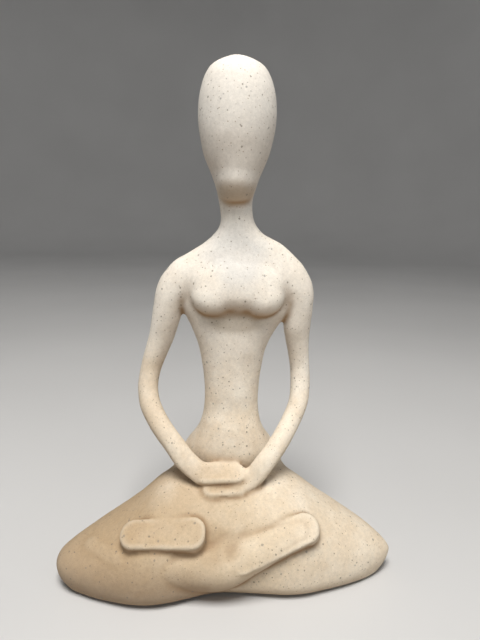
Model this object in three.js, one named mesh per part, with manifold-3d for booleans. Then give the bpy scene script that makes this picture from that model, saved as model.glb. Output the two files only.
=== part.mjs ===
// A seated, faceless meditating figure: one stone-filled resin casting that rests on four felt pads,
// stiffened by a steel rod up the neck and by a wire in each arm, with a plug over the rod's bore.
// Millimetres, +Z up. The figure faces -Y and its right hand is at -X. Felt meets the table at z = 0.
import * as THREE from "three";
import { mergeVertices } from "three/addons/utils/BufferGeometryUtils.js";
import Module from "manifold-3d";

// Overall size of the casting's shape. The stations further down are drawn at the DRAWN size.
const WIDTH = 167;
const DEPTH = 81;
const HEIGHT = 247;
const DRAWN = new THREE.Vector3(167, 81, 247);

// Pieces that hold it together and carry it.
const CLEARANCE = 0.3;
const ROD_DIAMETER = 4;
const ROD_TOP = 224;
const WIRE_DIAMETER = 2;
const PLUG_DIAMETER = 16;
const PLUG_THICKNESS = 3;
const PAD_DIAMETER = 14;
const PAD_THICKNESS = 1.5;
const PAD_ACROSS = 36;
const PAD_FRONT = -27;
const PAD_REAR = 6;

const GROUND = PAD_THICKNESS + CLEARANCE;
const stretch = new THREE.Vector3(WIDTH, DEPTH, HEIGHT).divide(DRAWN);

const wasm = await Module();
wasm.setup();

// Stations: centre x, y, z, then half width across and half depth.
const TORSO = [
  [0, 6, 34, 26, 22],
  [0, 6, 46, 28, 20],
  [0, 5, 54, 25.5, 18],
  [0, 3, 62, 20.8, 15],
  [0, 1.5, 70, 16.4, 12.6],
  [0, 0.5, 80, 13.9, 10.6],
  [0, 0, 90, 13.6, 10],
  [0, 0, 102, 14.8, 10],
  [0, 0, 114, 17.2, 10.6],
  [0.3, 0.5, 124, 22, 11.4],
  [0.8, 0.5, 134, 28, 12],
  [1.4, 1, 143, 31.5, 12],
  [2.2, 1.5, 151, 32.5, 11.2],
  [2.2, 1.8, 157, 29, 10],
  [2, 2, 162, 22, 9],
  [1.6, 2, 166.5, 13.8, 8.2],
  [1.4, 2, 171, 9.4, 7.6],
  [0.7, 1.8, 178, 7.5, 7.2],
  [0.3, 1.7, 182.5, 7.9, 7.6],
  [0, 0.5, 188, 8.9, 10],
  [0, -1.4, 191.6, 10.1, 12.8],
  [0, -0.9, 198, 12.6, 14.3],
  [0, -0.6, 203, 14.7, 15.5],
  [0, -0.2, 214, 17.4, 17.8],
  [0, 0.3, 224, 18.1, 18.6],
  [0, 0.8, 234, 16.7, 17.4],
  [0, 1.2, 240.5, 14, 14.6],
  [0, 1.3, 244.4, 10.4, 10.9],
  [0, 1.3, 246.3, 5.6, 5.9],
];
const CROWN = 0.7;

// Knee to knee: x, rear edge, front edge, crest y, crest height, widest height, lowest height.
const LAP = [
  [-84.5, -22, -27, -24.5, 12.5, 11, 9.5],
  [-83, -18, -31, -24, 15, 11, 6],
  [-79, -12, -35, -22, 18, 10, 2],
  [-70, 0, -39.5, -17, 22, 9, -1],
  [-58, 11, -44, -12, 28.5, 8, -1],
  [-46, 19, -47.5, -8, 36, 8, -1],
  [-34, 26, -48, -5, 45.5, 8, -1],
  [-20, 31, -44.5, -4, 50, 8, -1],
  [-8, 33, -41, -4, 51, 8, -1],
  [8, 33, -41.5, -4, 51, 8, -1],
  [20, 31, -42.5, -4, 50, 8, -1],
  [34, 26, -42.5, -5, 44.5, 8, -1],
  [46, 19, -39, -8, 36.5, 8, -1],
  [58, 11, -35, -12, 29.5, 8, -1],
  [70, 0, -29.5, -16, 22.5, 9, -1],
  [78, -9, -24.5, -18, 17, 10, 3],
  [81.5, -14, -21.5, -18, 14, 10.5, 7],
  [83, -17, -19.5, -18, 12, 10.5, 9],
];

const RIGHT_ARM = [
  [-22.5, 2, 149, 8.6, 8.6],
  [-28.6, 2, 142, 8.4, 8.4],
  [-32, 2, 132, 7.4, 7.4],
  [-33.6, 2.5, 125, 6.9, 6.9],
  [-35.8, 3.5, 116.5, 6.2, 6.2],
  [-38.8, 4, 108, 5.6, 5.6],
  [-41.4, 4, 99.5, 5.2, 5.2],
  [-42.7, 2, 91, 5.1, 5.1],
  [-41.6, -1.5, 83.5, 5.1, 5.1],
  [-38.2, -5, 77, 5.1, 5.1],
  [-33.4, -9, 70.8, 5.1, 5.1],
  [-28, -12.5, 65, 5.1, 5.1],
  [-22.5, -15.2, 59.6, 5.4, 4.6],
  [-14, -17.2, 54.6, 6.4, 3.8],
  [-4, -17.8, 52.8, 6.8, 3.4],
  [3, -17.8, 53.4, 5.4, 3],
];

const LEFT_ARM = [
  [26, 2, 149, 8.6, 8.6],
  [31, 2, 142, 8.4, 8.4],
  [32.6, 2, 132, 7.4, 7.4],
  [32.5, 2.5, 125, 7, 7],
  [33.2, 3.5, 116.5, 6.1, 6.1],
  [34.4, 4, 108, 5.3, 5.3],
  [35.4, 4, 99.5, 5, 5],
  [35.6, 2, 91, 5, 5],
  [34.5, -1.5, 83.5, 4.9, 4.9],
  [31.3, -5, 77, 4.8, 4.8],
  [27.2, -9.4, 70.8, 4.8, 4.8],
  [22.6, -13.6, 64.8, 4.8, 4.8],
  [17, -17.4, 58.6, 5, 4.6],
  [9.5, -18.2, 49.4, 5.4, 3.6],
  [0, -19.4, 46.6, 5.4, 3.2],
  [-9.5, -19, 46.4, 4.8, 3],
];

const BUST = [
  [13, -5, 140.5],
  [-9, -5, 140.5],
];
const BUST_RADII = [12.5, 10, 11.5];

// The leg from the right knee crosses over and ends in the sole on the left thigh. The sixth
// number is the roundness of the section: 1 is an ellipse, less is squarer.
const OVER_LEG = [
  [-64, -25, 13, 11, 11, 1],
  [-46, -32, 14.5, 13, 13, 1],
  [-32, -33.6, 15.5, 13.6, 13.4, 1],
  [-18, -34.4, 16.5, 13, 12.4, 1],
  [-4, -36.4, 20, 11.4, 10.2, 0.95],
  [9, -37.8, 24.8, 9.2, 7.2, 0.85],
  [22, -37.4, 28.8, 9, 5.8, 0.75],
  [34, -36.4, 32.6, 7.6, 4.8, 0.8],
];
const UNDER_SOLE = [
  [-44, -36.5, 31.5, 6.8, 5, 0.75],
  [-37, -37, 31.5, 7.8, 5.4, 0.7],
  [-27, -36.5, 31.5, 8.2, 5.4, 0.7],
  [-19.5, -35, 33, 7.2, 5, 0.75],
];

const FORWARD = new THREE.Vector3(0, -1, 0);
const HAND_NORMAL = new THREE.Vector3(0, -0.5, 0.87);
const SOLE_NORMAL = new THREE.Vector3(0, -0.62, 0.78);

// three.js geometry to a manifold-3d solid.
function solid(geometry) {
  geometry.deleteAttribute("normal");
  geometry.deleteAttribute("uv");
  const merged = mergeVertices(geometry, 1e-4);
  const mesh = new wasm.Mesh({
    numProp: 3,
    vertProperties: merged.attributes.position.array,
    triVerts: new Uint32Array(merged.index.array),
  });
  return new wasm.Manifold(mesh);
}

// A smooth run through rows of numbers, spaced by the distance between their first three.
function run(rows) {
  const at = [0];
  for (let i = 1; i < rows.length; i += 1) {
    const from = new THREE.Vector3(...rows[i - 1]);
    const to = new THREE.Vector3(...rows[i]);
    at.push(at[i - 1] + from.distanceTo(to));
  }
  const curve = new THREE.CubicInterpolant(at, rows.flat(), rows[0].length);
  return (t) => [...curve.evaluate(t * at[at.length - 1])];
}

// Moves a sine or cosine outwards, which turns an ellipse into a rounded box.
function squared(value, power = 1) {
  return Math.sign(value) * Math.abs(value) ** power;
}

// A limb of elliptical rings along its stations. Its ends are domes as long as the end depth.
function limb(stations, normal, around, along, domes) {
  const at = run(stations);
  const capsule = new THREE.CapsuleGeometry(1, 1, 4, around, along);
  const p = capsule.attributes.position;
  for (let i = 0; i < p.count; i += 1) {
    const over = p.getY(i) - THREE.MathUtils.clamp(p.getY(i), -0.5, 0.5);
    const t = THREE.MathUtils.clamp(p.getY(i) + 0.5, 0, 1);
    const here = at(t);
    const before = new THREE.Vector3(...at(Math.max(t - 0.01, 0)));
    const after = new THREE.Vector3(...at(Math.min(t + 0.01, 1)));
    const tangent = after.sub(before).normalize();
    const side = new THREE.Vector3().crossVectors(tangent, normal).normalize();
    const out = new THREE.Vector3().crossVectors(side, tangent);
    const dome = over < 0 ? domes[0] : domes[1];
    const point = new THREE.Vector3(...here);
    point.addScaledVector(side, squared(p.getX(i), here[5]) * here[3]);
    point.addScaledVector(out, squared(p.getZ(i), here[5]) * here[4]);
    point.addScaledVector(tangent, over * dome);
    p.setXYZ(i, point.x, point.y, point.z);
  }
  return solid(capsule);
}

function ellipsoid(centre, radii) {
  const ball = new THREE.SphereGeometry(1, 24, 16);
  return solid(ball.scale(...radii).translate(...centre));
}

// The lap: each slice across x is four quarter curves about its crest and its widest height.
// The slices crowd towards the knees, and below the widest height they are squarer.
function lap(stations, around, along) {
  const at = run(stations.map(([x, ...rest]) => [x, 0, 0, ...rest]));
  const tube = new THREE.CylinderGeometry(1, 1, 1, around, along);
  const p = tube.attributes.position;
  for (let i = 0; i < p.count; i += 1) {
    const t = 0.5 + 0.5 * Math.sin(Math.PI * p.getY(i));
    const [x, , , rear, front, crest, top, widest, lowest] = at(t);
    const power = p.getZ(i) > 0 ? 1 : 0.55;
    const reach = squared(-p.getX(i), power);
    const rise = squared(p.getZ(i), power);
    const y = crest + reach * (reach > 0 ? rear - crest : crest - front);
    const z = widest + rise * (rise > 0 ? top - widest : widest - lowest);
    p.setXYZ(i, x, y, z);
  }
  return solid(tube);
}

function stretched(point) {
  return new THREE.Vector3(...point.slice(0, 3)).multiply(stretch);
}

function disc(diameter, from, to, x, y) {
  const shape = new THREE.CylinderGeometry(diameter / 2, diameter / 2, to - from, 24);
  return shape.rotateX(Math.PI / 2).translate(x, y, (from + to) / 2);
}

// A round wire through points.
function wire(diameter, points) {
  const section = new THREE.Shape().absarc(0, 0, diameter / 2, 0, Math.PI * 2);
  const path = new THREE.CatmullRomCurve3(points);
  return new THREE.ExtrudeGeometry(section, {
    steps: 30,
    curveSegments: 4,
    bevelEnabled: false,
    extrudePath: path,
  });
}

function skin() {
  let whole = limb(TORSO, FORWARD, 28, 40, [4, CROWN]);
  const parts = [
    lap(LAP, 30, 32),
    limb(RIGHT_ARM, HAND_NORMAL, 12, 30, [7, 4]),
    limb(LEFT_ARM, HAND_NORMAL, 12, 30, [7, 4]),
    limb(OVER_LEG, SOLE_NORMAL, 18, 20, [10, 8]),
    limb(UNDER_SOLE, SOLE_NORMAL, 20, 8, [7, 7]),
    ...BUST.map((centre) => ellipsoid(centre, BUST_RADII)),
  ];
  for (const part of parts) {
    whole = whole.add(part);
  }
  whole = whole.scale([stretch.x, stretch.y, stretch.z]);
  const under = new THREE.BoxGeometry(2 * WIDTH, 2 * WIDTH, 40);
  return whole.subtract(solid(under.translate(0, 0, GROUND - 20)));
}

// An arm's wire starts beside the neck rod, inside the chest, and stops in the hand.
function wirePoints(arm) {
  const side = Math.sign(arm[0][0]);
  const inner = stretched([0, 1.5, 148]).setX(side * (ROD_DIAMETER / 2 + CLEARANCE));
  return [inner, stretched([side * 14, 1.5, 148]), ...arm.slice(1, -2).map(stretched)];
}

// The channel runs clear of its wire all round, opens into the rod's bore and ends in a ball.
function channel(arm) {
  const radius = WIRE_DIAMETER / 2 + CLEARANCE;
  const points = wirePoints(arm);
  const start = points[0];
  const end = points[points.length - 1];
  const throat = new THREE.CylinderGeometry(radius, radius, 2 * Math.abs(start.x), 16);
  const ball = new THREE.SphereGeometry(radius, 12, 8);
  return solid(wire(2 * radius, points))
    .add(solid(throat.rotateZ(Math.PI / 2).translate(start.x, start.y, start.z)))
    .add(solid(ball.translate(end.x, end.y, end.z)));
}

function standard(color, roughness, metalness) {
  return new THREE.MeshStandardMaterial({ color, roughness, metalness });
}

const group = new THREE.Group();
function add(name, shape, material) {
  const mesh = new THREE.Mesh(shape, material);
  mesh.name = name;
  group.add(mesh);
}

function geometryOf(manifold) {
  const mesh = manifold.getMesh();
  const geometry = new THREE.BufferGeometry();
  geometry.setAttribute("position", new THREE.BufferAttribute(mesh.vertProperties, 3));
  geometry.setIndex(new THREE.BufferAttribute(mesh.triVerts, 1));
  geometry.computeVertexNormals();
  return geometry;
}

const rodTop = ROD_TOP * stretch.z;
const rodFoot = GROUND + PLUG_THICKNESS + CLEARANCE;
const rodY = 1.5 * stretch.y;
const bore = ROD_DIAMETER + 2 * CLEARANCE;
const mouth = PLUG_DIAMETER + 2 * CLEARANCE;

const casting = skin()
  .subtract(solid(disc(bore, 0, rodTop + CLEARANCE, 0, rodY)))
  .subtract(solid(disc(mouth, 0, rodFoot, 0, rodY)))
  .subtract(channel(RIGHT_ARM))
  .subtract(channel(LEFT_ARM));

const rubber = standard(0x4a4744, 0.9, 0);
add("figure_casting", geometryOf(casting), standard(0xd9cab2, 0.85, 0));
add("neck_armature_rod", disc(ROD_DIAMETER, rodFoot, rodTop, 0, rodY), standard(0x8f9296, 0.45, 1));
add("right_arm_wire", wire(WIRE_DIAMETER, wirePoints(RIGHT_ARM)), standard(0x9a9da1, 0.4, 1));
add("left_arm_wire", wire(WIRE_DIAMETER, wirePoints(LEFT_ARM)), standard(0x9c9ea2, 0.4, 1));
add("base_plug", disc(PLUG_DIAMETER, GROUND, GROUND + PLUG_THICKNESS, 0, rodY), rubber);

for (const [end, y] of [["front", PAD_FRONT], ["rear", PAD_REAR]]) {
  for (const [side, sign] of [["right", -1], ["left", 1]]) {
    const x = sign * PAD_ACROSS * stretch.x;
    const pad = disc(PAD_DIAMETER, 0, PAD_THICKNESS, x, y * stretch.y);
    add(`felt_pad_${end}_${side}`, pad, standard(0x3b3633, 1, 0));
  }
}

// The origin is under the middle of the casting.
const { min, max } = casting.boundingBox();
group.position.set(-(min[0] + max[0]) / 2, -(min[1] + max[1]) / 2, 0);

export default group;
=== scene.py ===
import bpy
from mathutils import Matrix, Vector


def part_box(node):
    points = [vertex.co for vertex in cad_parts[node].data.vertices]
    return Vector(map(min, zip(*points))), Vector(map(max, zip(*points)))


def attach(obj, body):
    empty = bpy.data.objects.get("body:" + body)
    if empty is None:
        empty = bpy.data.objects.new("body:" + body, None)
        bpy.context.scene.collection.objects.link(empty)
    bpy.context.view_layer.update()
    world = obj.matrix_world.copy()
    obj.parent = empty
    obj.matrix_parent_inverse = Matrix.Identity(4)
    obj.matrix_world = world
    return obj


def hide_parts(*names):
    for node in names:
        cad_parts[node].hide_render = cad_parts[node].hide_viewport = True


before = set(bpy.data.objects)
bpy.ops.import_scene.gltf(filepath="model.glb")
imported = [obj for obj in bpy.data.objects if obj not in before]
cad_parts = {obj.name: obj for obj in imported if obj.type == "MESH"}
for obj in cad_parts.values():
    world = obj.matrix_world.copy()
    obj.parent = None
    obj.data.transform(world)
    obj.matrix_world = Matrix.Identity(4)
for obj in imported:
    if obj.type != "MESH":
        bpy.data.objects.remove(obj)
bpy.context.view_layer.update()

import math

import bmesh
import bpy
import numpy as np
from mathutils import Matrix, Vector

MM = 0.001
scene = bpy.context.scene


# ------------------------------------------------------------------ camera
def place_camera():
    data = bpy.data.cameras.new("camera")
    data.lens = 28.4
    data.sensor_width = 36
    data.clip_start = 0.01
    camera = bpy.data.objects.new("camera", data)
    scene.collection.objects.link(camera)
    turn = Matrix.Rotation(math.radians(-3.0), 4, "Z")
    tilt = Matrix.Rotation(math.radians(90 - 11.9), 4, "X")
    lean = Matrix.Rotation(math.radians(1.4), 4, "Z")
    place = Matrix.Translation(Vector((-8.6, -238.4, 178)) * MM)
    camera.matrix_world = place @ turn @ tilt @ lean
    scene.camera = camera


place_camera()


# ------------------------------------------------------------------ workshop
def deselect():
    if bpy.context.object and bpy.context.object.mode != "OBJECT":
        bpy.ops.object.mode_set(mode="OBJECT")
    bpy.ops.object.select_all(action="DESELECT")


def choose(*pieces):
    deselect()
    for piece in pieces:
        piece.select_set(True)
    bpy.context.view_layer.objects.active = pieces[0]


def settle(*pieces):
    """Puts each object's place, turn and size into its mesh."""
    choose(*pieces)
    bpy.ops.object.transform_apply(location=True, rotation=True, scale=True)


def finish_with(obj, kind, **settings):
    choose(obj)
    modifier = obj.modifiers.new(kind.lower(), kind)
    for name, value in settings.items():
        setattr(modifier, name, value)
    bpy.ops.object.modifier_apply(modifier=modifier.name)


def join(pieces, name):
    choose(*pieces)
    bpy.ops.object.join()
    pieces[0].name = name
    return pieces[0]


def pick(obj, part, test):
    """Enters edit mode with only the parts that pass the test selected: verts, edges or faces."""
    choose(obj)
    bpy.ops.object.mode_set(mode="EDIT")
    mode = {"verts": "VERT", "edges": "EDGE", "faces": "FACE"}[part]
    bpy.ops.mesh.select_mode(type=mode)
    bpy.ops.mesh.select_all(action="DESELECT")
    mesh = bmesh.from_edit_mesh(obj.data)
    for item in getattr(mesh, part):
        item.select = bool(test(item))
    mesh.select_flush(True) if part == "verts" else mesh.select_flush_mode()
    bmesh.update_edit_mesh(obj.data)


def leave():
    bpy.ops.object.mode_set(mode="OBJECT")


# ------------------------------------------------------------------ feet and plug
PADS = ("front_right", "front_left", "rear_right", "rear_left")


def disc_in(node, name, corners=64):
    """A round disc that fills a CAD piece's box, added at its place."""
    low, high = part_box(node)
    deselect()
    bpy.ops.mesh.primitive_cylinder_add(
        vertices=corners, radius=(high.x - low.x) / 2, depth=high.z - low.z,
        location=(low + high) / 2,
    )
    disc = bpy.context.object
    disc.name = name
    settle(disc)
    return disc


def pressed_felt(node, name):
    """A punched felt disc: rim eased, fibres standing a little off the surface."""
    felt = disc_in(node, name)
    pick(felt, "faces", lambda f: abs(f.normal.z) > 0.9)
    bpy.ops.mesh.bevel(offset=0.3 * MM, segments=3)
    leave()
    pick(felt, "faces", lambda f: abs(f.normal.z) > 0.99)
    for step in range(5):
        bpy.ops.mesh.inset(thickness=1.15 * MM)
    leave()
    finish_with(felt, "SUBSURF", levels=1, render_levels=1)
    fibre = bpy.data.textures.new(name + "_fibre", "CLOUDS")
    fibre.noise_scale = 0.0012
    finish_with(felt, "DISPLACE", texture=fibre, texture_coords="LOCAL", strength=0.16 * MM)
    choose(felt)
    bpy.ops.object.shade_smooth()
    return felt


def four_feet():
    """One foot is made, then copied to the other three places, each copy with its own mesh."""
    first = pressed_felt("felt_pad_" + PADS[0], "felt_foot_" + PADS[0])
    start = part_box("felt_pad_" + PADS[0])[0]
    made = [first]
    for place in PADS[1:]:
        choose(first)
        bpy.ops.object.duplicate()
        foot = bpy.context.object
        foot.name = "felt_foot_" + place
        foot.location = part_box("felt_pad_" + place)[0] - start
        settle(foot)
        made.append(foot)
    for foot, place in zip(made, PADS):
        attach(foot, "root")
        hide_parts("felt_pad_" + place)
    return made


def rubber_plug():
    """A push-in plug: a proud rim, a moulded groove and a shallow dish with a nub."""
    plug = disc_in("base_plug", "rubber_plug", 96)
    low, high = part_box("base_plug")
    pick(plug, "faces", lambda f: abs(f.normal.z) > 0.9)
    bpy.ops.mesh.bevel(offset=0.35 * MM, segments=3)
    leave()
    pick(plug, "faces", lambda f: f.normal.z < -0.99)
    for inward, sunk in ((1.3, 0), (0.25, 0.4), (0.7, 0), (0.25, -0.4), (1.6, 0), (0.5, 0.5)):
        bpy.ops.mesh.inset(thickness=inward * MM)
        if sunk:
            bpy.ops.transform.translate(value=(0, 0, sunk * MM))
    bpy.ops.mesh.inset(thickness=1.6 * MM)
    bpy.ops.mesh.inset(thickness=0.25 * MM)
    bpy.ops.transform.translate(value=(0, 0, -0.35 * MM))
    leave()
    finish_with(plug, "BEVEL", width=0.08 * MM, segments=2, limit_method="ANGLE")
    choose(plug)
    bpy.ops.object.shade_smooth_by_angle(angle=math.radians(35))
    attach(plug, "root")
    return plug


feet = four_feet()
plug = rubber_plug()


# ------------------------------------------------------------------ clay: sections, then skinned
# Stations are in millimetres as the casting is drawn; SHIFT takes them to its footprint's centre.
rod_low, rod_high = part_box("neck_armature_rod")
rod_middle = (rod_low + rod_high) / 2 / MM
SHIFT = Vector((rod_middle.x, rod_middle.y - 1.5, 0))


def smooth_run(rows):
    """A curve through rows of numbers, spaced by the distance between their first three."""
    rows = np.array(rows, float)
    steps = np.linalg.norm(np.diff(rows[:, :3], axis=0), axis=1)
    at = np.r_[0, np.cumsum(steps)]
    slope = np.gradient(rows, at, axis=0)

    def value(t):
        where = t * at[-1]
        i = min(int(np.searchsorted(at, where, side="right")) - 1, len(at) - 2)
        span = at[i + 1] - at[i]
        u = (where - at[i]) / span
        a, b = rows[i], rows[i + 1]
        rise = 3 * u**2 - 2 * u**3
        start = (u**3 - 2 * u**2 + u) * span * slope[i]
        end = (u**3 - u**2) * span * slope[i + 1]
        return a + rise * (b - a) + start + end

    return value, at[-1]


def section(centre, side, out, wide, deep, corners):
    """One oval section: a circle added at its place, turned to face along the limb, and sized."""
    turn = Matrix((side, out, side.cross(out))).transposed().to_euler()
    bpy.ops.mesh.primitive_circle_add(
        vertices=corners, radius=MM, location=(centre + SHIFT) * MM, rotation=turn
    )
    swell = 3 / (2 + math.cos(2 * math.pi / corners))
    bpy.context.object.scale = (wide * swell, deep * swell, 1)
    return bpy.context.object


def skin_over(sections, name):
    """Bridges the sections in their order, closes both ends and rounds the whole."""
    settle(*sections)
    limb = join(sections, name)
    bpy.ops.object.mode_set(mode="EDIT")
    bpy.ops.mesh.select_all(action="SELECT")
    bpy.ops.mesh.bridge_edge_loops()
    bpy.ops.mesh.select_mode(type="EDGE")
    bpy.ops.mesh.select_all(action="DESELECT")
    bpy.ops.mesh.select_non_manifold()
    bpy.ops.mesh.edge_face_add()
    bpy.ops.mesh.select_all(action="SELECT")
    bpy.ops.mesh.normals_make_consistent(inside=False)
    leave()
    finish_with(limb, "SUBSURF", levels=2, render_levels=2)
    return limb


def limb(name, stations, facing, domes, gap=3.0, corners=24):
    """Oval sections along the stations. Columns: x, y, z, half width, half depth."""
    value, length = smooth_run(stations)
    count = max(3, round(length / gap))
    cap = [math.sin(math.radians(a)) for a in (84, 66, 46, 24)]
    levels = [(0.0, -c) for c in cap]
    levels += [(k / count, 0.0) for k in range(count + 1)]
    levels += [(1.0, c) for c in reversed(cap)]
    sections = []
    for t, over in levels:
        here = value(t)
        ahead = Vector(value(min(t + 0.01, 1))[:3] - value(max(t - 0.01, 0))[:3]).normalized()
        side = ahead.cross(Vector(facing)).normalized()
        small = math.sqrt(1 - over * over)
        centre = Vector(here[:3]) + ahead * over * domes[0 if over < 0 else 1]
        sections.append(
            section(centre, side, side.cross(ahead), here[3] * small, here[4] * small, corners)
        )
    return skin_over(sections, name)


def flatten_below(ring, height, lowest):
    """Squeezes the underside of a lap section down to its lowest height."""
    top = max(v.co.z for v in ring.data.vertices)
    squeeze = (height - lowest) * MM / (top - height * MM)
    middle = sum((v.co for v in ring.data.vertices), Vector()) / len(ring.data.vertices)
    pick(ring, "verts", lambda v: v.co.z < (height - 0.01) * MM)
    bpy.ops.transform.resize(
        value=(1, 1, squeeze), center_override=(middle.x, middle.y, height * MM)
    )
    leave()


def lap_body(name, stations, gap=3.0, corners=40):
    """Slices across the thighs. Columns: x, rear, front, crest height, widest height, lowest."""
    value, length = smooth_run([[row[0], 0, 0] + list(row[1:]) for row in stations])
    count = round(length / gap)
    sections = []
    for k in range(count + 1):
        x, _, _, rear, front, top, widest, lowest = value(0.5 - 0.5 * math.cos(math.pi * k / count))
        centre = Vector((x, (rear + front) / 2, widest))
        half = (rear - front) / 2
        ring = section(centre, Vector((0, 1, 0)), Vector((0, 0, 1)), half, top - widest, corners)
        settle(ring)
        flatten_below(ring, widest, lowest)
        sections.append(ring)
    return skin_over(sections, name)


def egg(name, centre, radii, lean=0.0):
    """A rounded mass: a ball added at its place, sized and leant forward."""
    deselect()
    bpy.ops.mesh.primitive_uv_sphere_add(
        segments=32, ring_count=20, radius=MM, location=(Vector(centre) + SHIFT) * MM,
        rotation=(math.radians(lean), 0, 0),
    )
    mass = bpy.context.object
    mass.name = name
    mass.scale = radii
    settle(mass)
    return mass


def slab(name, face, size, normal, turn, corner, lip, narrow=1.0):
    """A flat sole or hand: a block rounded in plan, its face edge eased, then laid at its place."""
    deselect()
    bpy.ops.mesh.primitive_cube_add(size=MM)
    block = bpy.context.object
    block.name = name
    block.scale = size
    settle(block)
    half = size[0] / 2 * MM
    pick(block, "verts", lambda v: v.co.x > half - 0.1 * MM)
    bpy.ops.transform.resize(value=(1, narrow, 1), center_override=(half, 0, 0))
    leave()
    pick(block, "edges", lambda e: abs(e.verts[0].co.z - e.verts[1].co.z) > MM)
    bpy.ops.mesh.bevel(offset=corner * MM, segments=10)
    leave()
    pick(block, "faces", lambda f: f.normal.z > 0.9)
    bpy.ops.mesh.bevel(offset=lip * MM, segments=4)
    leave()
    out = Vector(normal).normalized()
    along = Vector((1, 0, 0))
    along = (along - out * along.dot(out)).normalized()
    along = Matrix.Rotation(math.radians(turn), 3, out) @ along
    lay = Matrix((along, out.cross(along), out)).transposed().to_4x4()
    place = (Vector(face) + SHIFT - out * size[2] / 2) * MM
    block.matrix_world = Matrix.Translation(place) @ lay
    settle(block)
    return block


# ------------------------------------------------------------------ surface work
class Skin:
    """The figure's surface, worked by hand: smoothed, filled and pushed in places."""

    def __init__(self, obj):
        self.obj = obj
        self.co = np.empty(len(obj.data.vertices) * 3)
        obj.data.vertices.foreach_get("co", self.co)
        self.co = self.co.reshape(-1, 3)
        edges = np.empty(len(obj.data.edges) * 2, np.int64)
        obj.data.edges.foreach_get("vertices", edges)
        self.a, self.b = edges.reshape(-1, 2).T
        both = np.r_[self.a, self.b]
        self.count = np.bincount(both, minlength=len(self.co))

    def put_back(self):
        self.obj.data.vertices.foreach_set("co", self.co.ravel())
        self.obj.data.update()

    def mean(self, values):
        total = np.zeros_like(values)
        for k in range(values.shape[1]):
            total[:, k] = np.bincount(self.a, values[self.b, k], len(values))
            total[:, k] += np.bincount(self.b, values[self.a, k], len(values))
        return total / self.count[:, None]

    def normals(self):
        self.put_back()
        facing = np.empty(len(self.co) * 3)
        self.obj.data.vertex_normals.foreach_get("vector", facing)
        return facing.reshape(-1, 3)

    def relax(self, rounds, weight=1.0):
        """Smooths without shrinking: each step in is followed by a step out."""
        for _ in range(rounds):
            self.co = self.co + 0.5 * weight * (self.mean(self.co) - self.co)
            self.co = self.co - 0.52 * weight * (self.mean(self.co) - self.co)

    def melt(self, rounds, weight):
        for _ in range(round(rounds * ROUNDS)):
            self.co = self.co + 0.5 * weight * (self.mean(self.co) - self.co)

    def fill(self, rounds, weight):
        """Fills hollows only, as a thumb wipes clay into a join."""
        for turn in range(round(rounds * ROUNDS)):
            if turn % 6 == 0:
                facing = self.normals()
            delta = self.mean(self.co) - self.co
            out = (delta * facing).sum(1, keepdims=True)
            self.co = self.co + 0.6 * weight * delta * (out > 0)

    def near(self, centre, radii):
        """1 at the centre of an egg-shaped region, easing to 0 at its edge."""
        middle = (np.array(centre) + np.array(SHIFT)) * MM
        far = np.linalg.norm((self.co - middle) / (np.array(radii) * MM), axis=1)
        t = np.clip(1 - far, 0, 1)
        return (t * t * (3 - 2 * t))[:, None]

    def over(self, firm, *places):
        """The strongest of several soft regions at each point, pressed harder towards 1."""
        strongest = self.near(*places[0])
        for place in places[1:]:
            strongest = np.maximum(strongest, self.near(*place))
        return np.clip(firm * strongest, 0, 1)

    def push(self, centre, radii, by):
        """Moves a soft patch by so many millimetres."""
        self.co = self.co + self.near(centre, radii) * np.array(by) * MM


# ------------------------------------------------------------------ figure
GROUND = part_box("figure_casting")[0].z
COARSE = 1.2 * MM
VOXEL = 0.9 * MM
ROUNDS = (COARSE / VOXEL) ** 2

# Columns: x, y, z of the middle, half width, half depth.
TORSO = [
    (0, 6, 34, 26, 22),
    (0, 6, 46, 28, 20),
    (0, 5, 54, 25.5, 18),
    (0, 2.2, 62, 20.8, 16.4),
    (0, 0.8, 70, 16.4, 13.7),
    (0, 0.5, 80, 13.9, 10.6),
    (0, 0, 90, 13.6, 10),
    (0, 0, 102, 14.8, 10),
    (0, 0, 114, 17.2, 10.6),
    (0.3, 0.5, 124, 22, 11.4),
    (0.8, 0.5, 134, 28, 12),
    (1.4, 1, 143, 31.5, 12),
    (2.2, 1.5, 151, 32.5, 11.2),
    (2.2, 1.8, 157, 29, 10),
    (2, 2, 162, 22, 9),
    (1.6, 2, 166.5, 13.8, 8.2),
    (1.4, 2, 171, 9.4, 7.6),
    (0.7, 1.8, 178, 7.5, 7.2),
    (0.3, 1.7, 182.5, 7.9, 7.6),
    (0.1, 1.3, 185.5, 8.3, 8.9),
    (0, 0.2, 188.3, 9, 10.7),
    (0, -1.5, 191.3, 10, 12.7),
    (0, -1.2, 194.5, 11.1, 13.4),
    (0, -0.9, 198, 12.6, 14.3),
    (0, -0.6, 203, 14.7, 15.5),
    (0, -0.2, 214, 17.4, 17.8),
    (0, 0.3, 224, 18.1, 18.6),
    (0, 0.8, 234, 16.7, 17.4),
    (0, 1.2, 240.5, 14, 14.6),
    (0, 1.3, 244.4, 10.4, 10.9),
    (0, 1.3, 246.3, 5.6, 5.9),
]
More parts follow.
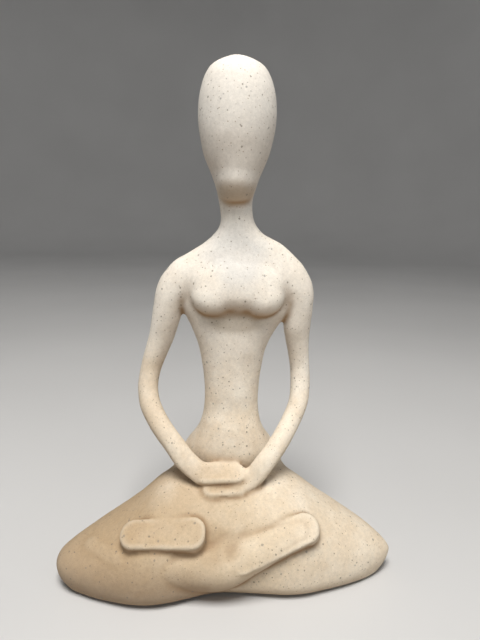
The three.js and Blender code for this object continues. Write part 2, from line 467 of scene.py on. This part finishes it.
# Columns: x, rear, front, crest height, widest height, lowest.
LAP = [
    (-84.5, -22, -27, 12.5, 11, 9.5),
    (-83, -18, -31, 15, 11, 6),
    (-79, -12, -35, 18, 10, 0),
    (-70, 0, -39.5, 22, 9, -7),
    (-58, 11, -44, 28.5, 8, -8),
    (-46, 19, -47.5, 36, 8, -8),
    (-34, 26, -48, 45.5, 8, -8),
    (-20, 31, -44.5, 50, 8, -8),
    (-8, 33, -41, 51, 8, -8),
    (8, 33, -41.5, 51, 8, -8),
    (20, 31, -42.5, 50, 8, -8),
    (34, 26, -42.5, 44.5, 8, -8),
    (46, 19, -39, 36.5, 8, -8),
    (58, 11, -35, 29.5, 8, -8),
    (70, 0, -29.5, 22.5, 9, -7),
    (78, -9, -24.5, 17, 10, 0),
    (81.5, -14, -21.5, 14, 10.5, 6),
    (83, -17, -19.5, 12, 10.5, 9),
]
# Columns of the limbs: x, y, z of the middle, half width, half depth.
RIGHT_ARM = [
    (-23, 2, 149.6, 8.8, 8.6),
    (-28.6, 2, 142.4, 8.7, 8.4),
    (-32, 2, 132, 7.4, 7.4),
    (-33.6, 2.5, 125, 6.9, 6.9),
    (-35.8, 3.5, 116.5, 6.2, 6.2),
    (-38.8, 4, 108, 5.6, 5.6),
    (-41.4, 4, 99.5, 5.2, 5.2),
    (-42.7, 2, 91, 5.1, 5.1),
    (-41.6, -1.5, 83.5, 5.1, 5.1),
    (-38.2, -5, 77, 5.1, 5.1),
    (-33.4, -9, 70.8, 5.1, 5.1),
    (-28, -12.5, 65, 5.1, 5.1),
    (-22.5, -15.8, 58.6, 5.4, 4.4),
    (-14, -18, 52, 5.8, 2.8),
]
LEFT_ARM = [
    (26.8, 2, 149.8, 9, 8.6),
    (31, 2, 142.6, 8.8, 8.4),
    (32.6, 2, 132, 7.4, 7.4),
    (32.5, 2.5, 125, 7, 7),
    (33.2, 3.5, 116.5, 6.1, 6.1),
    (34.4, 4, 108, 5.3, 5.3),
    (35.4, 4, 99.5, 5, 5),
    (35.6, 2, 91, 5, 5),
    (34.5, -1.5, 83.5, 4.9, 4.9),
    (31.3, -5, 77, 4.8, 4.8),
    (27.2, -9.4, 70.8, 4.8, 4.8),
    (22.6, -13.6, 64.8, 4.8, 4.8),
    (17, -17.4, 58.6, 5, 4.6),
    (9.5, -18.2, 49.4, 5.4, 3.6),
    (0, -19.4, 46.6, 5.4, 3.2),
    (-9.5, -19, 46.4, 4.8, 3),
]
OVER_LEG = [
    (-64, -25, 13, 11, 11),
    (-46, -32, 14.2, 12.6, 13),
    (-32, -33.6, 14.6, 12.6, 13.4),
    (-18, -34.8, 14.8, 11.6, 12.4),
    (-4, -37.4, 16.6, 11, 10.4),
    (9, -38.6, 22.8, 8.8, 7.2),
    (22, -37.4, 28.8, 7.2, 4.6),
    (32, -35.6, 32.4, 6, 3.4),
]
# Places worked by hand, each a centre and the reach of the tool along x, y and z.
ARMPITS = [((-24, 2, 134), (14, 20, 20)), ((27, 2, 134), (14, 20, 20))]
JOINS = [
    ((1.8, -12, 153), (30, 15, 18)),
    ((2, 12, 142), (46, 16, 30)),
    ((0, 24, 56), (56, 28, 30)),
    ((-31, 6, 50), (26, 20, 22)),
    ((31, 6, 50), (26, 20, 22)),
]
BUST = ((1.8, -14, 141), (30, 16, 18))
WRISTS = [
    ((-17, -19, 55), (9, 9, 9)),
    ((0, -45, 24), (10, 12, 13)),
    ((9, -19, 54), (6, 8, 6)),
]
HEEL = ((0, -43, 22), (12, 13, 15))
ANKLE = ((3.5, -42, 30), (12, 13, 11))
KNUCKLES = ((-5, -14.5, 57.5), (17, 7, 6))
TOES = [((41, -40, 38), (11, 12, 10)), ((-52, -38, 35), (9, 12, 10))]
SHOULDERS = [((-26, 2, 152), (20, 22, 18)), ((30, 2, 152), (20, 22, 18))]
NAPE = ((0, 11, 187), (16, 12, 11))
KNEES = [((-80, -24, 12), (16, 24, 20)), ((80, -18, 11), (16, 24, 20))]
FIRM = 1.6
FIRMER = 1.8
FORWARD = (0, -1, 0)
PALM = (0, -0.5, 0.87)
SOLE = (0, -0.62, 0.78)
HAND_TILT = (0, -0.565, 0.826)
LEFT_TILT = (-0.13, -0.655, 0.74)
RIGHT_TILT = (-0.08, -0.59, 0.80)


def clay_figure():
    pieces = [
        limb("torso", TORSO, FORWARD, (4, 0.7), corners=32),
        lap_body("lap", LAP),
        limb("right_arm", RIGHT_ARM, PALM, (7, 4)),
        limb("left_arm", LEFT_ARM, PALM, (7, 4)),
        limb("over_leg", OVER_LEG, SOLE, (10, 5)),
        egg("right_breast", (-9.6, -7.8, 139.6), (10.8, 8.2, 9.8), -30),
        egg("left_breast", (13.2, -7.8, 139.6), (10.8, 8.2, 9.8), -30),
        egg("breastbone", (1.8, -5.8, 146), (23, 9.4, 14), -27),
        egg("breast_fold", (1.8, -8, 141.2), (15, 8.4, 9.4), -30),
        slab("right_hand", (-5, -19.3, 54.4), (24.5, 12.2, 4), HAND_TILT, 0, 5, 1.3, 0.84),
        slab("left_hand", (-3, -22, 48.2), (22, 9.6, 4.4), HAND_TILT, 4, 4.4, 1.1, 1),
        slab("left_sole", (19.4, -39.6, 30), (46, 16.4, 8), LEFT_TILT, 20, 6.4, 1, 0.83),
        slab("right_sole", (-31.9, -38.9, 34.4), (39.5, 15, 7), RIGHT_TILT, 179, 6.2, 1, 0.86),
    ]
    figure = join(pieces, "figure")
    finish_with(figure, "REMESH", mode="VOXEL", voxel_size=VOXEL, adaptivity=0)
    return figure


def fold_at_the_heel(skin):
    """A short crease where the upper ankle meets the heel, pressed in along a line."""
    for step in range(9):
        point = (7.5 - 1.1 * step, -41 - 0.4 * step, 34 - step)
        skin.push(point, (5, 10, 4.4), (0, 0.5, -0.3))
    skin.melt(5, skin.over(FIRMER, ANKLE))


def work_surface(figure):
    """Wipes the joins smooth from the top of the arms to the knees, place by place."""
    skin = Skin(figure)
    skin.relax(4)
    skin.fill(14, skin.over(FIRM, *ARMPITS))
    skin.fill(90, skin.over(FIRM, *JOINS))
    skin.melt(14, skin.over(FIRMER, BUST))
    skin.fill(24, skin.over(FIRM, *WRISTS))
    skin.fill(70, skin.over(FIRMER, HEEL))
    fold_at_the_heel(skin)
    skin.melt(7, skin.over(FIRMER, KNUCKLES))
    skin.melt(5, skin.over(FIRMER, *TOES))
    shoulders = skin.over(FIRM, *SHOULDERS)
    skin.fill(60, shoulders)
    skin.melt(20, shoulders)
    nape = skin.over(FIRMER, NAPE)
    skin.fill(40, nape)
    skin.melt(16, nape)
    skin.melt(16, skin.over(FIRM, *KNEES))
    skin.relax(5)
    skin.put_back()


def flat_base(figure):
    choose(figure)
    bpy.ops.object.mode_set(mode="EDIT")
    bpy.ops.mesh.select_all(action="SELECT")
    bpy.ops.mesh.bisect(
        plane_co=(0, 0, GROUND), plane_no=(0, 0, 1), use_fill=True, clear_inner=True
    )
    leave()


def flat_shade_base(figure):
    pick(figure, "faces", lambda f: f.normal.z < -0.99 and f.verts[0].co.z < GROUND + 0.1 * MM)
    bpy.ops.mesh.faces_shade_flat()
    leave()


def hand_marks(figure):
    """The shallow unevenness that rubbing down by hand leaves."""
    marks = bpy.data.textures.new("hand_marks", "CLOUDS")
    marks.noise_scale = 0.016
    marks.noise_depth = 2
    finish_with(figure, "DISPLACE", texture=marks, texture_coords="LOCAL", strength=0.5 * MM)


def record_hollows(figure):
    """Keeps how deep in a hollow each point lies (1 in a crease, 0 in the open) for the wash and its
    painted shade, and how far each point faces down, for painted shade on the undersides.
    """
    skin = Skin(figure)
    facing = skin.normals()
    at_rest = skin.co.copy()
    depths = []
    for rounds in (3.5, 21):
        skin.melt(rounds, 1.0)
        depths.append(((skin.co - at_rest) * facing).sum(1) / MM)
    crease = np.clip(depths[0] / 0.2, 0, 1) * 0.9 + np.clip(depths[1] / 0.9, 0, 1) * 0.45
    rim = np.clip(-depths[0] / 0.25, 0, 1)
    # For painted shade: how far each point faces down.
    under = np.clip(-facing[:, 2], 0, 1)
    skin.co = at_rest
    skin.put_back()
    for name, values in {"hollow": crease, "rim": rim, "under": under}.items():
        kept = figure.data.attributes.new(name, "FLOAT", "POINT")
        kept.data.foreach_set("value", np.clip(values, 0, 1))


def copy_of(node, name, swell):
    """A copy of a CAD piece, its doubles merged, grown all round by so many millimetres."""
    choose(bpy.data.objects[node])
    bpy.ops.object.duplicate()
    copy = bpy.context.object
    copy.name = name
    bpy.ops.object.mode_set(mode="EDIT")
    bpy.ops.mesh.select_all(action="SELECT")
    bpy.ops.mesh.remove_doubles(threshold=1e-6)
    leave()
    finish_with(copy, "DISPLACE", strength=swell * MM, mid_level=0)
    return copy


def bore_out(figure):
    """Leaves the rod, the arm wires and the plug their own room inside the pour."""
    for node in ("base_plug", "neck_armature_rod", "right_arm_wire", "left_arm_wire"):
        cutter = copy_of(node, "cutter", 0.3)
        finish_with(figure, "BOOLEAN", operation="DIFFERENCE", object=cutter, solver="EXACT")
        bpy.data.objects.remove(cutter, do_unlink=True)


figure = clay_figure()
work_surface(figure)
hand_marks(figure)
record_hollows(figure)
flat_base(figure)
choose(figure)
bpy.ops.object.shade_smooth()
bore_out(figure)
flat_shade_base(figure)
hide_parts("base_plug")

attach(figure, "root")
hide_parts("figure_casting")


# ------------------------------------------------------------------ finishes
class Finish:
    """One procedural material, built socket by socket on the object's own coordinates."""

    def __init__(self, name, **sockets):
        self.material = bpy.data.materials.new(name)
        self.material.use_nodes = True
        self.tree = self.material.node_tree
        self.shader = self.tree.nodes["Principled BSDF"]
        for socket, value in sockets.items():
            self.shader.inputs[socket.replace("_", " ")].default_value = value
        self.where = self.tree.nodes.new("ShaderNodeTexCoord").outputs["Object"]

    def plug(self, socket, value):
        if isinstance(value, bpy.types.NodeSocket):
            self.tree.links.new(value, socket)
        else:
            socket.default_value = value

    def node(self, kind, output=0, inputs=(), **settings):
        made = self.tree.nodes.new(kind)
        for name, value in settings.items():
            setattr(made, name, value)
        for key, value in dict(inputs).items():
            self.plug(made.inputs[key], value)
        return made.outputs[output]

    def noise(self, scale, detail=2, rough=0.5, vector=None):
        inputs = {"Vector": vector or self.where, "Scale": scale, "Detail": detail}
        inputs["Roughness"] = rough
        return self.node("ShaderNodeTexNoise", 0, inputs)

    def sums(self, kind, a, b, clamp=False):
        return self.node("ShaderNodeMath", 0, {0: a, 1: b}, operation=kind, use_clamp=clamp)

    def spread(self, value, low, high, to_low=0.0, to_high=1.0, ease=False):
        inputs = {0: value, 1: low, 2: high, 3: to_low, 4: to_high}
        kind = "SMOOTHSTEP" if ease else "LINEAR"
        return self.node("ShaderNodeMapRange", 0, inputs, interpolation_type=kind)

    def mix(self, factor, a, b, kind="MIX"):
        made = self.tree.nodes.new("ShaderNodeMix")
        made.data_type = "RGBA"
        made.blend_type = kind
        for socket, value in ((0, factor), (6, a), (7, b)):
            self.plug(made.inputs[socket], value)
        return made.outputs[2]

    def kept(self, name):
        return self.node("ShaderNodeAttribute", 2, attribute_name=name)

    def height(self):
        return self.node("ShaderNodeSeparateXYZ", 2, {0: self.where})

    def across(self):
        return self.node("ShaderNodeSeparateXYZ", 0, {0: self.where})

    def patch(self, centre, radii, cloud):
        """A soft egg-shaped patch round a place on the figure, its edge uneven."""
        middle = (Vector(centre) + SHIFT) * MM
        out = self.node("ShaderNodeVectorMath", 0, {0: self.where, 1: middle}, operation="SUBTRACT")
        size = tuple(r * MM for r in radii)
        out = self.node("ShaderNodeVectorMath", 0, {0: out, 1: size}, operation="DIVIDE")
        far = self.node("ShaderNodeVectorMath", 1, {0: out}, operation="LENGTH")
        far = self.sums("ADD", far, self.spread(cloud, 0.3, 0.7, -0.25, 0.25))
        return self.spread(far, 1.0, 0.45, 0, 0.7, True)

    def flecks(self, scale, radius, share, vector):
        """Scattered grains: a share of the cells each hold one, of the given radius in metres."""
        cells = self.tree.nodes.new("ShaderNodeTexVoronoi")
        self.plug(cells.inputs["Vector"], vector)
        cells.inputs["Scale"].default_value = scale
        chance = self.node("ShaderNodeSeparateColor", 0, {0: cells.outputs["Color"]})
        size = self.spread(chance, 0.0, 1.0, 0.45 * radius * scale, radius * scale)
        inside = self.sums("SUBTRACT", size, cells.outputs["Distance"])
        soft = self.spread(inside, 0.0, 0.35 * radius * scale, ease=True)
        chosen = self.sums("LESS_THAN", self.node(
            "ShaderNodeSeparateColor", 1, {0: cells.outputs["Color"]}), share)
        return self.sums("MULTIPLY", soft, chosen)

    def bump(self, height, strength, distance):
        inputs = {"Height": height, "Strength": strength, "Distance": distance}
        self.plug(self.shader.inputs["Normal"], self.node("ShaderNodeBump", 0, inputs))

    def put_on(self, obj):
        obj.data.materials.clear()
        obj.data.materials.append(self.material)


def rgb(red, green, blue):
    return (red, green, blue, 1)


CREAM = rgb(0.83, 0.75, 0.63)
TAN = rgb(0.74, 0.63, 0.49)
GREY = rgb(0.645, 0.61, 0.56)
PALE_BODY = rgb(0.79, 0.76, 0.71)
# Painted shade: a warmer, darker colour laid low on the base, most on the right side, where less
# light falls.
WARM_BASE_SHADE = rgb(0.59, 0.47, 0.32)
# Painted shade on the right knee and the right side of the lap, which get less light.
KNEE_SHADE = rgb(0.42, 0.295, 0.17)
# Painted shade on the right forearm.
FOREARM_SHADE = rgb(0.56, 0.43, 0.29)
# Painted shade along the lowest edge on the right side.
LOW_EDGE_SHADE = rgb(0.29, 0.205, 0.13)
# Painted shade, grey, on the throat and the top of the chest under the head.
THROAT_SHADE_GREY = rgb(0.60, 0.59, 0.57)
# Brown of the wash in the creases, used also as painted shade in the creases and on the undersides.
WASH_AND_SHADE_BROWN = rgb(0.29, 0.185, 0.10)
RUBBED_RIM = rgb(0.86, 0.79, 0.66)
# Painted shadow under the chin, painted shade under the bust, and brown wash with painted shade at
# the heel: place, size, strength, colour.
SHADE_AND_WASH_POOLS = [
    ((0, -8, 187.5), (13, 11, 8), 1.0, rgb(0.31, 0.235, 0.155)),
    ((2, -12, 127.5), (23, 11, 8), 0.9, rgb(0.40, 0.335, 0.255)),
    ((-5, -44, 29.5), (15, 14, 9), 0.8, rgb(0.40, 0.29, 0.18)),
]


def body_colour(it, cloud, mottle):
    """Cream and tan mottling, greyer at the head and neck; then painted shade: warmer at the base,
    darker at the right knee, the right forearm and the lowest right edge.
    """
    colour = it.mix(it.spread(mottle, 0.38, 0.66), TAN, CREAM)
    high = it.sums("ADD", it.height(), it.sums("MULTIPLY", cloud, 0.05))
    colour = it.mix(it.spread(high, 0.182, 0.222, 0, 0.7, True), colour, GREY)
    colour = it.mix(it.spread(high, 0.10, 0.155, 0, 0.55, True), colour, PALE_BODY)
    across = it.sums("ADD", it.across(), it.sums("MULTIPLY", cloud, 0.05))
    # Painted shade: the base is warmed and darkened, most towards the right side.
    low_down = it.spread(high, 0.088, 0.055, 0, 1, True)
    warm_shade = it.sums("MULTIPLY", low_down, it.spread(across, 0.02, 0.085, 0.76, 0.3, True))
    colour = it.mix(warm_shade, colour, WARM_BASE_SHADE)
    # Painted shade: the right side darkened below mid height, most at the right knee.
    to_the_right = it.spread(across, 0.045, -0.03, 0, 1, True)
    painted_shade = it.sums("MULTIPLY", to_the_right, it.spread(high, 0.125, 0.07, 0, 0.8, True))
    colour = it.mix(painted_shade, colour, KNEE_SHADE)
    # Painted shade: a soft darker patch on the right forearm.
    forearm = it.sums("MULTIPLY", it.patch((-38, -2, 78), (20, 26, 32), cloud), 0.55)
    colour = it.mix(forearm, colour, FOREARM_SHADE)
    # Painted shade: the lowest 26 millimetres on the right side darkened, most at the bottom.
    bottom_edge = it.spread(it.height(), 0.026, 0.004, 0, 0.95, True)
    low_shade = it.sums("MULTIPLY", it.spread(across, 0.045, 0, 0, 1, True), bottom_edge)
    return it.mix(low_shade, colour, LOW_EDGE_SHADE)


def shaded_places(it, colour, cloud):
    """Painted shadow under the chin, painted shade under the bust, brown wash with painted shade in
    the heel's fold, and grey painted shade on the throat.
    """
    for place, size, strength, painted_shade in SHADE_AND_WASH_POOLS:
        shade_and_wash_pool = it.sums("MULTIPLY", it.patch(place, size, cloud), strength)
        colour = it.mix(shade_and_wash_pool, colour, painted_shade)
    # Painted shade: a grey patch on the throat, where the head shades it.
    throat_shade = it.patch((1, -8, 158), (19, 26, 21), cloud)
    return it.mix(throat_shade, colour, THROAT_SHADE_GREY)


def creases(it, colour, mottle):
    """A brown wash that stays in the creases, deepened there with painted shade, and painted shade
    on the undersides; lighter where the wash is rubbed off the rims.
    """
    uneven = it.spread(mottle, 0.3, 0.7, 0.55, 1.15)
    # Brown wash in the creases, with painted shade there too.
    wash_and_shade = it.sums("MULTIPLY", it.kept("hollow"), uneven)
    # Painted shade: the undersides are browned, more the further they face down.
    wash_and_shade = it.sums("ADD", wash_and_shade, it.sums("MULTIPLY", it.kept("under"), 1.25))
    wash_and_shade = it.sums("MULTIPLY", wash_and_shade, 0.86, True)
    colour = it.mix(wash_and_shade, colour, WASH_AND_SHADE_BROWN)
    return it.mix(it.sums("MULTIPLY", it.kept("rim"), 0.3), colour, RUBBED_RIM)


def stone_resin():
    it = Finish("speckled_stone_resin", Specular_IOR_Level=0.35)
    cloud = it.noise(26, 3, 0.55)
    mottle = it.noise(95, 4, 0.6)
    sand = it.noise(620, 3, 0.65)
    dust = it.noise(2300, 2, 0.6)
    colour = shaded_places(it, body_colour(it, cloud, mottle), cloud)
    grain = it.spread(sand, 0.3, 0.7, 0.9, 1.07)
    tone = it.sums("ADD", grain, it.spread(dust, 0.3, 0.7, -0.05, 0.05))
    shade = it.node("ShaderNodeCombineColor", 0, {0: tone, 1: tone, 2: tone})
    colour = it.mix(1.0, colour, shade, "MULTIPLY")
    colour = creases(it, colour, mottle)
    # Flecks of three sizes, their outlines roughened.
    rough = it.node("ShaderNodeTexNoise", 1, {"Vector": it.where, "Scale": 1500, "Detail": 2})
    rough = it.node("ShaderNodeVectorMath", 0, {0: rough, 3: 0.0006}, operation="SCALE")
    ragged = it.node("ShaderNodeVectorMath", 0, {0: it.where, 1: rough}, operation="ADD")
    thick = it.spread(cloud, 0.35, 0.6, 0.5, 1.0)
    large = it.flecks(190, 0.0008, 0.5, ragged)
    middling = it.flecks(330, 0.0006, thick, ragged)
    small = it.flecks(560, 0.0004, 0.9, ragged)
    for grains, strength, dark in (
        (small, 0.68, rgb(0.30, 0.215, 0.135)),
        (middling, 0.72, rgb(0.20, 0.165, 0.125)),
        (large, 0.55, rgb(0.175, 0.165, 0.15)),
    ):
        colour = it.mix(it.sums("MULTIPLY", grains, strength), colour, dark)
    it.plug(it.shader.inputs["Base Color"], colour)
    it.plug(it.shader.inputs["Roughness"], it.spread(sand, 0.3, 0.7, 0.7, 0.9))
    height = it.sums("ADD", sand, it.sums("MULTIPLY", dust, 0.45))
    height = it.sums("SUBTRACT", height, it.sums("MULTIPLY", middling, 0.6))
    it.bump(height, 0.35, 0.00025)
    return it


def steel():
    it = Finish("armature_steel", Metallic=1.0)
    drawn = it.noise(300, 3, 0.6)
    colour = it.mix(drawn, rgb(0.33, 0.33, 0.34), rgb(0.52, 0.52, 0.53))
    it.plug(it.shader.inputs["Base Color"], colour)
    it.plug(it.shader.inputs["Roughness"], it.spread(drawn, 0.3, 0.7, 0.28, 0.5))
    it.bump(it.noise(1800, 2), 0.2, 0.0001)
    return it


def rubber():
    it = Finish("plug_rubber", Specular_IOR_Level=0.4)
    bloom = it.noise(180, 3, 0.6)
    colour = it.mix(it.spread(bloom, 0.35, 0.7), rgb(0.018, 0.018, 0.019), rgb(0.05, 0.05, 0.052))
    it.plug(it.shader.inputs["Base Color"], colour)
    it.plug(it.shader.inputs["Roughness"], it.spread(bloom, 0.3, 0.7, 0.5, 0.72))
    it.bump(it.noise(1500, 2), 0.3, 0.0001)
    return it


def felt():
    it = Finish("foot_felt", Sheen_Weight=0.3, Roughness=0.95)
    fibres = it.noise(1400, 4, 0.7)
    tufts = it.noise(260, 3, 0.6)
    colour = it.mix(it.spread(fibres, 0.35, 0.65), rgb(0.20, 0.145, 0.10), rgb(0.37, 0.29, 0.21))
    colour = it.mix(it.spread(tufts, 0.4, 0.75, 0, 0.4), colour, rgb(0.43, 0.35, 0.27))
    it.plug(it.shader.inputs["Base Color"], colour)
    it.bump(it.sums("ADD", fibres, tufts), 0.6, 0.0003)
    return it


stone_resin().put_on(figure)
rubber().put_on(plug)
foot_felt = felt()
for foot in feet:
    foot_felt.put_on(foot)
armature = steel()
for node in ("neck_armature_rod", "right_arm_wire", "left_arm_wire"):
    for slot in bpy.data.objects[node].material_slots:
        slot.material = armature.material


# ------------------------------------------------------------------ stage and light
FLOOR_RADIUS = 1.9
WALL_BEND = 0.7
BEND_STEP = math.radians(11)


def sweep():
    """A pale studio floor that curves up into a wall all round."""
    deselect()
    bpy.ops.mesh.primitive_circle_add(vertices=96, radius=FLOOR_RADIUS, fill_type="NGON")
    floor = bpy.context.object
    floor.name = "floor"
    bpy.ops.object.mode_set(mode="EDIT")
    bpy.ops.mesh.select_mode(type="EDGE")
    bpy.ops.mesh.select_all(action="DESELECT")
    bpy.ops.mesh.select_non_manifold()
    reach = FLOOR_RADIUS
    for k in range(1, 9):
        bend = BEND_STEP * k
        wider = FLOOR_RADIUS + WALL_BEND * math.sin(bend)
        rise = WALL_BEND * (math.cos(bend - BEND_STEP) - math.cos(bend))
        bpy.ops.mesh.extrude_region_move(TRANSFORM_OT_translate={"value": (0, 0, rise)})
        bpy.ops.transform.resize(
            value=(wider / reach, wider / reach, 1), center_override=(0, 0, 0)
        )
        reach = wider
    bpy.ops.mesh.extrude_region_move(TRANSFORM_OT_translate={"value": (0, 0, 1.2)})
    bpy.ops.mesh.select_all(action="SELECT")
    bpy.ops.mesh.normals_make_consistent(inside=True)
    leave()
    bpy.ops.object.shade_smooth()
    paint = Finish("pale_floor", Roughness=0.9)
    soft = paint.spread(paint.noise(3, 2), 0.3, 0.7, 0.58, 0.62)
    paint.plug(
        paint.shader.inputs["Base Color"],
        paint.node("ShaderNodeCombineColor", 0, {0: soft, 1: soft, 2: soft}),
    )
    paint.put_on(floor)


sweep()


def area_light(name, place, target, size, power, colour):
    data = bpy.data.lights.new(name, "AREA")
    data.size = size
    data.energy = power
    data.color = colour
    lamp = bpy.data.objects.new(name, data)
    scene.collection.objects.link(lamp)
    lamp.location = place
    aim = Vector(target) - Vector(place)
    lamp.rotation_euler = aim.to_track_quat("-Z", "Y").to_euler()


WARM_WHITE = (1, 0.98, 0.95)
area_light("key", (-0.05, -0.36, 1.0), (0, -0.02, 0.1), 0.4, 12.1, (1, 0.975, 0.94))
area_light("fill", (0.1, -1.2, 0.55), (0, 0, 0.12), 1.0, 1.0, WARM_WHITE)
area_light("side", (0.8, -0.7, 0.3), (0.03, 0, 0.1), 0.5, 0.9, WARM_WHITE)
for quarter in range(4):
    around = math.radians(45 + 90 * quarter)
    out = Vector((math.cos(around), math.sin(around), 0))
    wall = out * 2.5 + Vector((0, 0, 0.6))
    area_light("wall_%d" % quarter, out * 1.2 + Vector((0, 0, 1.7)), wall, 1.2, 3, (1, 1, 1))
world = bpy.data.worlds.new("world")
world.use_nodes = True
world.node_tree.nodes["Background"].inputs["Color"].default_value = (0.8, 0.82, 0.85, 1)
world.node_tree.nodes["Background"].inputs["Strength"].default_value = 0.09
scene.world = world
scene.view_settings.view_transform = "Standard"
